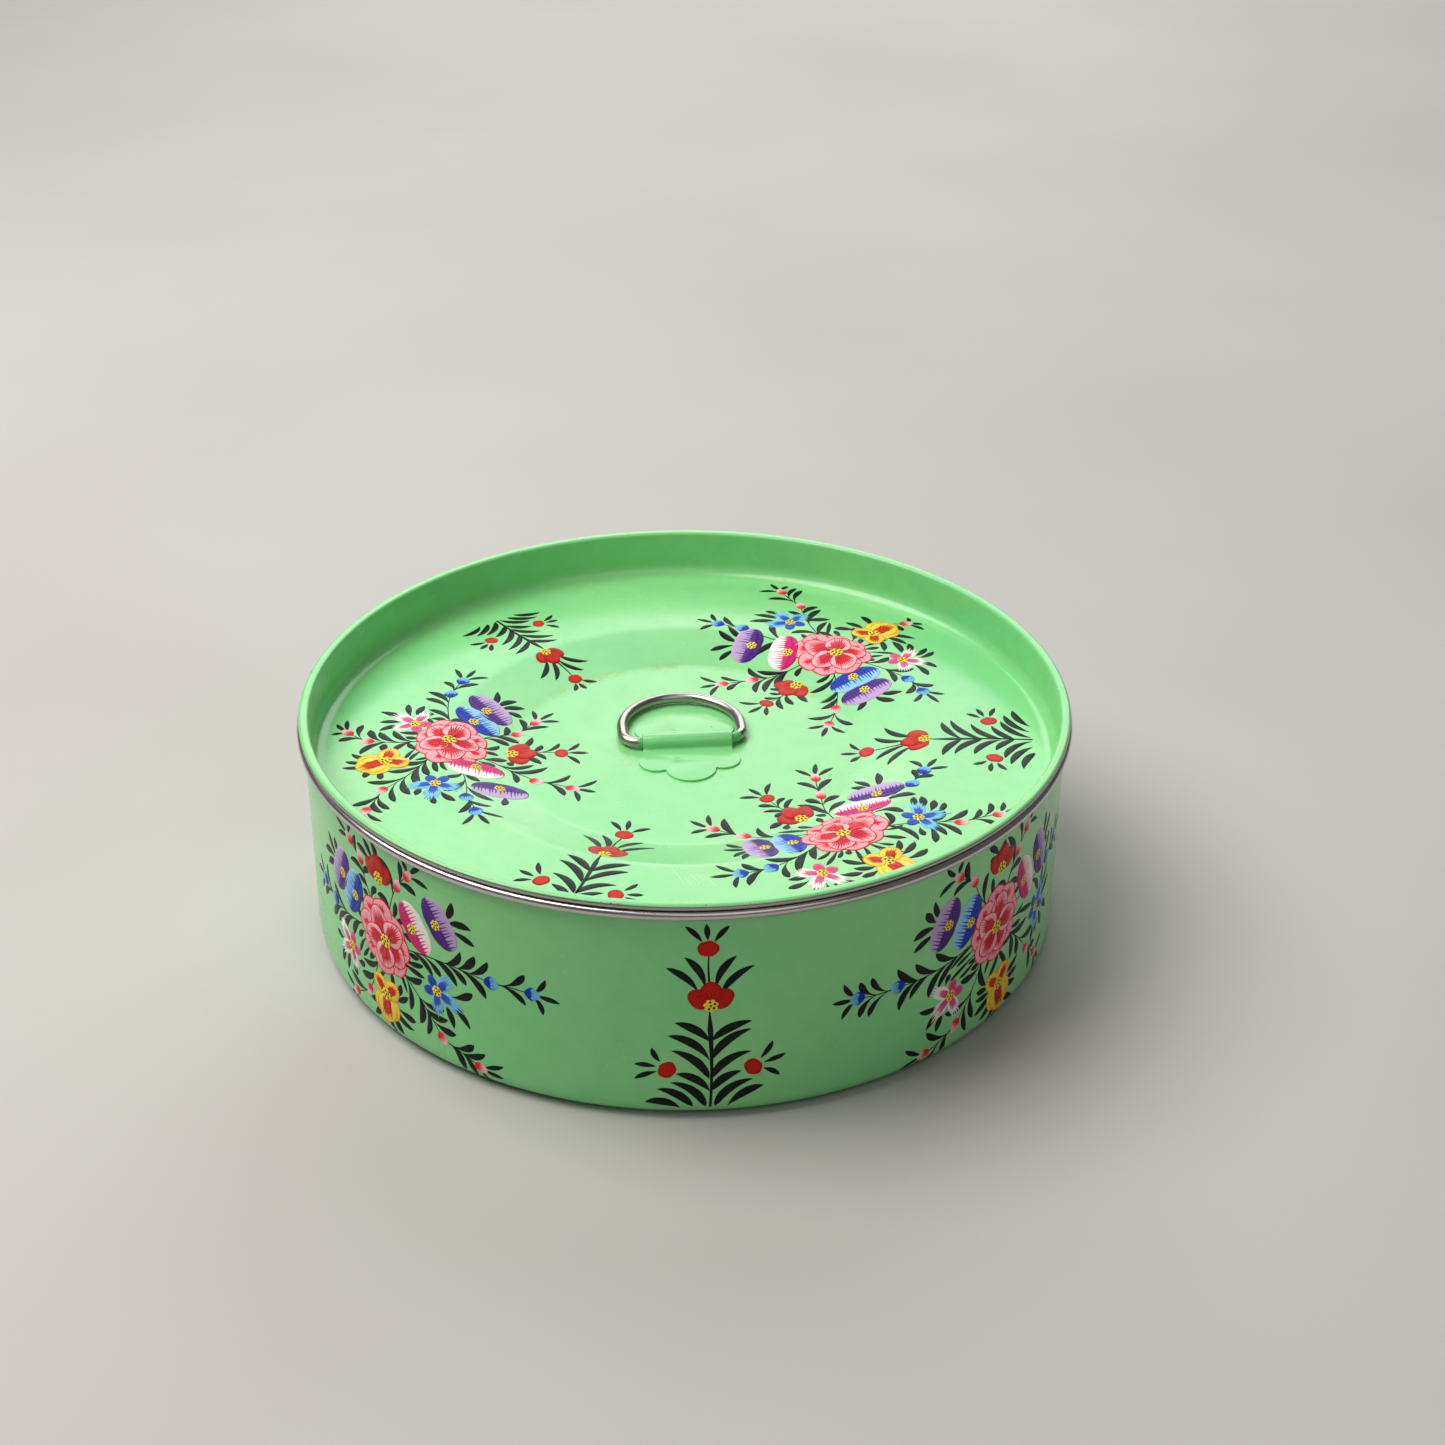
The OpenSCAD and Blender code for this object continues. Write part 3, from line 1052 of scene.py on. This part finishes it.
def star(brush, x, y, heading, tone):
    """A five-petalled star: three petals with frayed pale tips and two small round dark ones."""
    size = 8.0
    dark, pale = TONES[tone]
    lift = FLOWER_LIFT + LAYER
    for turn, length in ((-72, 1.0), (0, 1.1), (72, 1.0)):
        toward = heading + turn
        rays(brush, x, y, toward, 46, 8, size * 0.15, size * length * 0.86, 0.78, (pale,), lift, 0.12)
        rays(brush, x, y, toward, 36, 7, size * 0.10, size * length * 0.60, 0.58,
             (dark, blend(dark, pale, 0.2)), lift + LAYER, 0.18)
    for turn in (144, -144):
        reach = oval(size * 0.27, size * 0.20, heading + turn)
        middle = away(x, y, size * 0.58 * 0.62, heading + turn)
        brush.fill(*middle, reach, shaded(dark, blend(dark, pale, 0.12)), lift, 16, 3)
    dotted_centre(brush, x, y, size * 0.22, lift + LAYER * 2.4)


def bud(brush, x, y, heading):
    """A small pink bud, red at its root and pale at its tip."""
    size = 2.3
    colour = lengthwise(ROSE_RED, PALE_PINK, heading, 0.55)
    brush.fill(x, y, oval(size, size * 0.66, heading, 0.04, 3), colour, FLOWER_LIFT + LAYER, 18, 4)
    rays(brush, *away(x, y, -size * 0.8, heading), heading, 50, 5, 0.1, size * 1.05, 0.17, (ROSE_RED,),
         FLOWER_LIFT + LAYER * 1.5)


def red_bud(brush, x, y, heading, size):
    """A plain round red bud."""
    colour = shaded(POPPY, blend(POPPY, POPPY_DEEP, 0.7), 3)
    brush.fill(x, y, oval(size * 0.84, size, heading, 0.03, 5, 1.0), colour, FLOWER_LIFT + LAYER, 22, 4)


def bell(brush, x, y, heading):
    """A blue bell, dark at its root, with a pale toothed mouth."""
    size = 2.4
    colour = lengthwise(BLUE, SKY, heading, 0.8)
    brush.fill(x, y, oval(size * 0.92, size * 0.86, heading, 0.06, 4), colour, FLOWER_LIFT + LAYER, 20, 4)
    root = away(x, y, -size * 0.9, heading)
    rays(brush, *root, heading, 60, 6, size * 0.9, size, 0.26, (SKY,), FLOWER_LIFT + LAYER * 1.3)
    rays(brush, *root, heading, 56, 5, size * 0.1, size * 1.15, 0.24, (BLUE,), FLOWER_LIFT + LAYER * 1.9)


# ---------------------------------------------------------------- arrangements

# A bouquet in its own frame: x to the right, y up the wall or towards the lid's middle, in mm from the rose.
# Each bouquet has its own places for some of its flowers.
BOUQUET = {
    "rose": (0, 0),
    "oval_near_left": (-14.5, 7.0),
    "oval_far_left": (-21.5, 10.5),
    "oval_near_right": (13.0, 7.5),
    "oval_far_right": (22.0, 13.0),
    "poppy": (0, 17.4),
    "red_bud": (0, 31.5),
    "spray_up_left": ((-11.5, 18.7), (-18.3, 23.8)),
    "spray_up_right": ((15.6, 24.4), (19.8, 34.7)),
    "bells_left": ((-28.0, -1.2), (-36.0, 2.0)),
    "bells_right": ((31.0, 5.5), (38.7, 8.4)),
    "spray_down": ((-0.8, -24.0), (-6.0, -30.0)),
    "spray_down_right": ((26.6, -18.0), (37.5, -21.8)),
    "star_left": (-12.5, -11.0),
    "star_right": (22.5, -5.5),
    "flame": (4.0, -18.5),
}
SPRAYS = ("spray_up_left", "spray_up_right", "spray_down", "spray_down_right")
BELLS = ("bells_left", "bells_right")
OVALS = {
    "oval_far_left": "violet",
    "oval_near_left": "blue",
    "oval_far_right": "violet",
    "oval_near_right": "magenta",
}

# Long and wide reach of the roses
LID_ROSE = (12.8, 10.2)
WALL_ROSE = (12.0, 10.6)

# Bouquets on the lid, by the radius and the azimuth of the rose
LID_BOUQUETS = (
    ("left", 67.3, -177.9, {
        "lean_right": -30, "lean_left": -22, "oval_far_right": (23.5, 14.5), "star_left": (-10.5, -10.8),
        "flame": (10.5, -18.0), "star_right": (23.5, -3.4)}),
    ("back", 68.5, 49.0, {
        "oval_far_right": (24.5, 11.0), "spray_up_left": ((-18.0, 21.0), (-22.0, 29.4)),
        "spray_up_right": ((12.6, 23.0), (18.0, 31.0)), "star_left": (-19.5, -10.0), "flame": (-2.5, -18.0),
        "star_right": (22.0, -7.0)}),
    ("front", 66.8, -49.7, {
        "lean_right": 28, "oval_near_right": (14.2, 8.0), "oval_far_right": (22.8, 11.4),
        "spray_up_left": ((-18.0, 21.0), (-22.0, 29.4)), "spray_up_right": ((12.6, 23.0), (18.0, 31.0)),
        "star_left": (-19.6, -12.0), "flame": (-2.2, -19.0), "star_right": (19.5, -8.6)}),
)

# Sprigs on the lid, by the radius and the azimuth of the stem's foot and their size
LID_SPRIGS = (
    ("back_left", 93.9, 129.0, 0.80),
    ("right", 100.0, -1.5, 0.95),
    ("front_left", 95.5, -109.5, 0.93),
)

# Bouquets on the wall, by the arc from the front to the rose, its height and its tilt. The third is a guess.
WALL_BOUQUETS = (
    ("left", -91.0, 33.5, 18, {
        "oval_near_right": (13.5, 9.0), "oval_far_right": (22.5, 14.0), "poppy": (-0.5, 18.5),
        "spray_up_left": ((-9.0, 20.5), (-14.5, 24.0)), "spray_up_right": ((7.5, 19.5), (12.0, 24.5)),
        "bells_left": ((-27.5, -2.5), (-36.0, -1.0)), "bells_right": ((38.5, 1.4), (50.5, 1.4)),
        "spray_down": ((-9.0, -22.0), (-17.0, -27.0)), "spray_down_right": ((21.5, -23.0), (34.0, -27.5)),
        "star_left": (-18.0, -12.5), "star_right": (20.5, -8.0), "flame": (-0.5, -19.0)}),
    ("right", 94.8, 35.2, -18, {
        "oval_near_left": (-12.8, 6.5), "oval_far_left": (-21.5, 9.5), "oval_near_right": (15.7, 6.5),
        "oval_far_right": (25.2, 9.5), "poppy": (1.2, 17.3),
        "spray_up_left": ((-11.0, 18.5), (-17.2, 22.5)), "spray_up_right": ((9.5, 18.5), (14.5, 23.5)),
        "bells_left": ((-36.8, -4.0), (-49.1, -3.5)), "bells_right": ((33.0, 3.0), (41.5, 5.0)),
        "spray_down": ((-15.5, -25.5), (-27.0, -30.0)), "spray_down_right": ((19.5, -19.5), (27.0, -25.0)),
        "star_left": (-18.2, -14.5), "star_right": (25.2, -8.5), "flame": (3.2, -21.5)}),
    ("back", 331.7, 34.5, 10, {
        "poppy": (0.5, 18.0), "spray_up_left": ((-10.0, 19.0), (-16.0, 23.0)),
        "spray_up_right": ((8.5, 19.0), (13.5, 24.0)), "bells_left": ((-34.0, -3.0), (-45.0, -2.5)),
        "bells_right": ((35.0, 2.5), (46.0, 3.5)), "spray_down": ((-11.0, -23.5), (-20.0, -28.5)),
        "spray_down_right": ((20.5, -21.5), (31.0, -26.5)), "star_left": (-18.0, -13.5),
        "star_right": (23.0, -8.0), "flame": (1.5, -20.0)}),
)

# Sprigs on the wall, by the arc from the front. The two at the back are a guess.
SPRIG_FOOT_Z = 3.8
WALL_SPRIGS = (
    ("front", 6.2),
    ("back_right", 213.0),
    ("back_left", -209.0),
)

# Leaves of a sprig, the same on both sides: foot x and y, lean from upright, length and bend
SPRIG_LEAVES = (
    (0.3, 21.5, 35, 11.5, 42), (0.3, 15.5, 21, 14.0, 56), (0.3, 9.5, 17, 13.0, 62), (0.2, 5.5, 25, 10.0, 54),
    (1.2, 0.4, 19, 13.5, 64), (4.6, 0.4, 31, 12.0, 52), (8.0, 0.0, 41, 11.0, 46),
)
SPRIG_CROWN = ((1.4, 38.3, 4, 11.0, 50), (3.0, 36.7, 24, 11.5, 46))


def way_out(name, spots):
    """Heading from the rose to another flower."""
    return way(spots["rose"], spots[name])


def oval_way(name, spots):
    """Heading of an oval flower: across the way to the rose, then leaning by the bouquet's own amount."""
    return way_out(name, spots) - 90 + spots.get("lean_" + name.split("_")[-1], 0)


def flower_places(brush, spots, rose_reach):
    """Keeps the leaves of a bouquet off its flowers."""
    brush.keep_clear(*spots["rose"], rose_reach * 0.86)
    for name in SPRAYS + BELLS:
        for at in spots[name]:
            brush.keep_clear(*at, 1.5)
    for name, reach in (("star_left", 3.6), ("star_right", 3.8), ("flame", 4.6), ("poppy", 3.8),
                        ("red_bud", 1.9)):
        brush.keep_clear(*spots[name], reach)
    for name in OVALS:
        for along in (-4.6, 0, 4.6):
            brush.keep_clear(*away(*spots[name], along, oval_way(name, spots)), 3.4)


def rose_fringe(brush, spots, rose_reach):
    """Long leaves to the lower right, long blades below the rose and short leaves all round it."""
    sweep = way((0, 0), spots["spray_down_right"][0])
    for turn in (-36, -27, -18, -9, 9, 18, 27, 36, 150, 162, 174, 186):
        leaf(brush, *away(0, 0, rose_reach * 0.8, sweep + turn), sweep + turn, brush.vary(11, 16),
             math.copysign(brush.vary(8, 26), (turn + 90) % 180 - 90), 0.95, brush.vary(0.6, 0.75))
    for i in range(21):
        turn = 190 + 8 * i + brush.vary(-3, 3)
        side = math.cos(math.radians(turn))
        leaf(brush, *away(0, 0, rose_reach * 0.84, turn), turn, brush.vary(9, 15),
             math.copysign(brush.vary(10, 30), side), 0.68, brush.vary(0.55, 0.75))
    for i in range(36):
        turn = 10 * (i + brush.vary(-0.25, 0.25))
        reach = rose_reach * (0.86 + 0.06 * math.cos(math.radians(2 * turn)))
        leaf(brush, *away(0, 0, reach, turn), turn, brush.vary(5.0, 9.5),
             brush.chance.choice((-1, 1)) * brush.vary(20, 45), 1.0, brush.vary(0.5, 0.75))


def bouquet_leaves(brush, spots, rose_reach):
    """Stems, comma leaves and fringes of a bouquet."""
    flower_places(brush, spots, rose_reach)
    for name, pitch in (("spray_up_left", 3.6), ("spray_up_right", 3.6), ("spray_down", 3.8),
                        ("bells_left", 4.0), ("bells_right", 4.0), ("spray_down_right", 3.8)):
        near, far = spots[name]
        root = away(0, 0, rose_reach * 0.8, way((0, 0), near))
        leafy_stem(brush, root, near, 0.10, 0.90, pitch, 10.4, 1.2)
        leafy_stem(brush, near, far, 0.22, 0.8, pitch, 8.6, 1.1, 0.03)
        crown(brush, *far, way(near, far), 6.2)
    poppy_at, red_at = spots["poppy"], spots["red_bud"]
    if brush.canvas.holds(red_at[0], red_at[1] + 3):
        leafy_stem(brush, poppy_at, red_at, 0.3, 0.8, 3.8, 7.5, 0.95)
        crown(brush, *red_at, way(poppy_at, red_at), 6.0, 42, 2.0)
    for name, reach, count, length, spread in (
            ("star_left", 4.6, 9, 7.4, 200), ("star_right", 4.8, 9, 7.8, 210), ("flame", 4.8, 11, 7.6, 230),
            ("oval_far_left", 3.7, 8, 7.0, 170), ("oval_far_right", 3.7, 8, 7.2, 170),
            ("poppy", 4.2, 11, 6.6, 220)):
        fringe(brush, *spots[name], way_out(name, spots), reach, spread, count, length)
    rose_fringe(brush, spots, rose_reach)


def bouquet_flowers(brush, spots, long, wide, heading):
    """The flowers of a bouquet, from its edge in to the rose that lies over them."""
    for name in SPRAYS + BELLS:
        draw = bell if name in BELLS else bud
        near, far = spots[name]
        for at, towards in ((near, way((0, 0), near)), (far, way(near, far))):
            if brush.canvas.holds(at[0], at[1] + 1.5) and brush.canvas.holds(at[0], at[1] - 1.5):
                draw(brush, *at, towards)
    red_at = spots["red_bud"]
    if brush.canvas.holds(red_at[0], red_at[1] + 3):
        red_bud(brush, *red_at, way(spots["poppy"], red_at), 2.4)
    star(brush, *spots["star_left"], way_out("star_left", spots), "magenta")
    star(brush, *spots["star_right"], way_out("star_right", spots), "blue")
    flame_flower(brush, *spots["flame"], way(spots["flame"], spots["rose"]))
    poppy(brush, *spots["poppy"], way_out("poppy", spots), 5.8)
    for name, tone in OVALS.items():
        two_tone(brush, *spots[name], oval_way(name, spots), tone)
    rose(brush, *spots["rose"], long, wide, heading)


def bouquet(name, canvas, body, moves, rose_size, material, seed):
    """One bouquet as two pieces. rose_size is the rose's long and wide reach and its heading."""
    spots = {**BOUQUET, **moves}
    leaves = Brush(canvas, seed)
    bouquet_leaves(leaves, spots, (rose_size[0] + rose_size[1]) / 2)
    leaves.piece(name + "_leaves", body, material)
    flowers = Brush(canvas, seed + 1)
    bouquet_flowers(flowers, spots, *rose_size)
    flowers.piece(name + "_flowers", body, material)


def sprig_leaves(brush, size):
    """Stem, paired leaves and crowns of a sprig."""
    line = [(0.35 * math.sin(t * 0.2), t * 31.5 * size / 20) for t in range(21)]
    widths = [0.42 + 0.43 * (t / 16) ** 3 if t <= 16 else 0.12 + 0.73 * (20 - t) / 4 for t in range(21)]
    brush.stroke(line, widths, (INK,), LEAF_LIFT)
    for side in (-1, 1):
        for root_x, root_y, lean, length, bend in SPRIG_LEAVES:
            heading = 90 - side * (lean + brush.vary(-4, 4))
            leaf(brush, side * root_x * size, root_y * size, heading, length * size * brush.vary(0.9, 1.08),
                 -side * (bend + brush.vary(-6, 6)), 1.32 * size, brush.vary(0.42, 0.58))
        for root_x, root_y, lean, length, bend in SPRIG_CROWN:
            leaf(brush, side * root_x * size, root_y * size, 90 - side * lean, length * size,
                 -side * bend, 1.1 * size, brush.vary(0.45, 0.6))
        crown(brush, side * 11.4 * size, 12.8 * size, 90 - side * 72, 5.6 * size, 38, 2.7 * size)
    stem(brush, (-0.2, 38.5 * size), (-0.5, 48 * size), 0.02, 0.36)
    crown(brush, -0.6 * size, 50.3 * size, 92, 5.6 * size, 42, 2.5 * size)


def sprig(name, canvas, body, size, material, seed):
    """A red poppy on an upright leafy stem, with a bud above it and one on each side."""
    leaves = Brush(canvas, seed)
    sprig_leaves(leaves, size)
    leaves.piece(name + "_leaves", body, material)
    flowers = Brush(canvas, seed + 1)
    poppy(flowers, 0.1, 32.8 * size, 90, 5.9 * size)
    red_bud(flowers, -0.6 * size, 50.2 * size, 90, 2.9 * size)
    for side in (-1, 1):
        red_bud(flowers, side * 11.2 * size, 12.4 * size, 90 - side * 60, 2.8 * size)
    flowers.piece(name + "_flowers", body, material)


def scratches(material):
    """A few fine pale scratches in the enamel near the front of the lid."""
    brush = Brush(LidCanvas(78.0, -88.0), 500)
    for i in range(5):
        line = curve(2.1 * i - 3.0, brush.vary(-4, 1), 108 + 3 * i, brush.vary(4.5, 9.0), 6, 7)
        brush.stroke(line, [0.04, 0.07, 0.08, 0.07, 0.08, 0.06, 0.05, 0.03], (SCRATCH,), LEAF_LIFT * 0.4)
    brush.piece("lid_scratches", "lid", material)


def hand_painting(material):
    """All bouquets and sprigs, each with random draws of its own."""
    for i, (name, radius, azimuth, moves) in enumerate(LID_BOUQUETS):
        canvas = LidCanvas(radius, azimuth)
        bouquet("lid_bouquet_" + name, canvas, "lid", moves, (*LID_ROSE, 0), material, 100 + 10 * i)
    for i, (name, radius, azimuth, size) in enumerate(LID_SPRIGS):
        sprig("lid_sprig_" + name, LidCanvas(radius, azimuth), "lid", size, material, 200 + 10 * i)
    for i, (name, arc_length, height, tilt, moves) in enumerate(WALL_BOUQUETS):
        canvas = WallCanvas(arc_length, height)
        rose_size = (*WALL_ROSE, 90 + tilt)
        bouquet("wall_bouquet_" + name, canvas, "box", moves, rose_size, material, 300 + 10 * i)
    for i, (name, arc_length) in enumerate(WALL_SPRIGS):
        canvas = WallCanvas(arc_length, SPRIG_FOOT_Z)
        sprig("wall_sprig_" + name, canvas, "box", 1.0, material, 400 + 10 * i)


# ---------------------------------------------------------------- stage

def studio_floor():
    """A plain pale floor under the box."""
    bm = bmesh.new()
    bmesh.ops.create_grid(bm, x_segments=12, y_segments=12, size=4.0)
    mesh = bpy.data.meshes.new("studio_floor")
    bm.to_mesh(mesh)
    bm.free()
    mesh.materials.append(pale_floor())
    floor = bpy.data.objects.new("studio_floor", mesh)
    bpy.context.scene.collection.objects.link(floor)
    floor.location.z = cad_box[0].z


def soft_light(name, place, size, power, colour):
    """A round studio lamp that is turned to the middle of the box."""
    data = bpy.data.lights.new(name, "AREA")
    data.shape = "DISK"
    data.size = size
    data.energy = power
    data.color = colour
    lamp = bpy.data.objects.new(name, data)
    lamp.location = place
    lamp.rotation_euler = (Vector((0, 0, 0.04)) - Vector(place)).to_track_quat("-Z", "Y").to_euler()
    bpy.context.scene.collection.objects.link(lamp)


def lighting():
    """A large key lamp on the left, one behind, a weak one in front and a dim sky."""
    soft_light("key", (-0.68, 0.04, 1.24), 1.2, 20.5, (1.0, 0.985, 0.96))
    soft_light("back", (0.15, 1.45, 0.92), 1.5, 13, (0.98, 0.99, 1.0))
    soft_light("front", (0.30, -0.95, 1.15), 1.1, 2.6, (1.0, 0.99, 0.98))
    world = bpy.data.worlds.new("studio")
    world.use_nodes = True
    sky = world.node_tree.nodes["Background"]
    sky.inputs["Color"].default_value = (0.92, 0.95, 1.0, 1.0)
    sky.inputs["Strength"].default_value = 0.11
    bpy.context.scene.world = world


def camera():
    """The photo's viewing place, angle and lens, as solved from the two rims and the base."""
    data = bpy.data.cameras.new("camera")
    data.sensor_width = 36
    data.lens = 62.1
    down, yaw, roll = math.radians(29.542), math.radians(0.979), math.radians(0.333)
    forward = Vector((math.sin(yaw) * math.cos(down), math.cos(yaw) * math.cos(down), -math.sin(down)))
    right = Vector((math.cos(yaw), -math.sin(yaw), 0))
    upward = right.cross(forward)
    turned_right = right * math.cos(roll) + upward * math.sin(roll)
    turned_up = upward * math.cos(roll) - right * math.sin(roll)
    rows = Matrix((turned_right, turned_up, -forward)).transposed()
    eye = bpy.data.objects.new("camera", data)
    place = Vector((0, -623.46, 411.39)) * MM
    eye.matrix_world = Matrix.Translation(place) @ rows.to_4x4()
    bpy.context.scene.collection.objects.link(eye)
    bpy.context.scene.camera = eye


# ---------------------------------------------------------------- the object

bpy.context.scene.view_settings.view_transform = "Standard"
spun = round_steel("spun_steel", STEEL, 1500, 0.24, 0.42, 0.006)
rolled = round_steel("rolled_steel", STEEL, 2600, 0.20, 0.34, 0.003, 0.25)
hem_steel = round_steel("hem_steel", blend(STEEL, STEEL_DARK, 0.3), 1800, 0.25, 0.45, 0.004, 0.5)
paint = hand_paint()

turned("box_pan", box_outline(), (enamel(), spun, rolled), "box", "box_shell")
lid_skin = lid_enamel()
lid_skins = (lid_skin, hem_enamel(), spun, hem_steel)
turned("lid_pan", lid_outline(), lid_skins, "lid", "lid_shell")
folded_strap(lid_skin)
wire_ring(ring_steel())
hand_painting(paint)
scratches(paint)

studio_floor()
lighting()
camera()
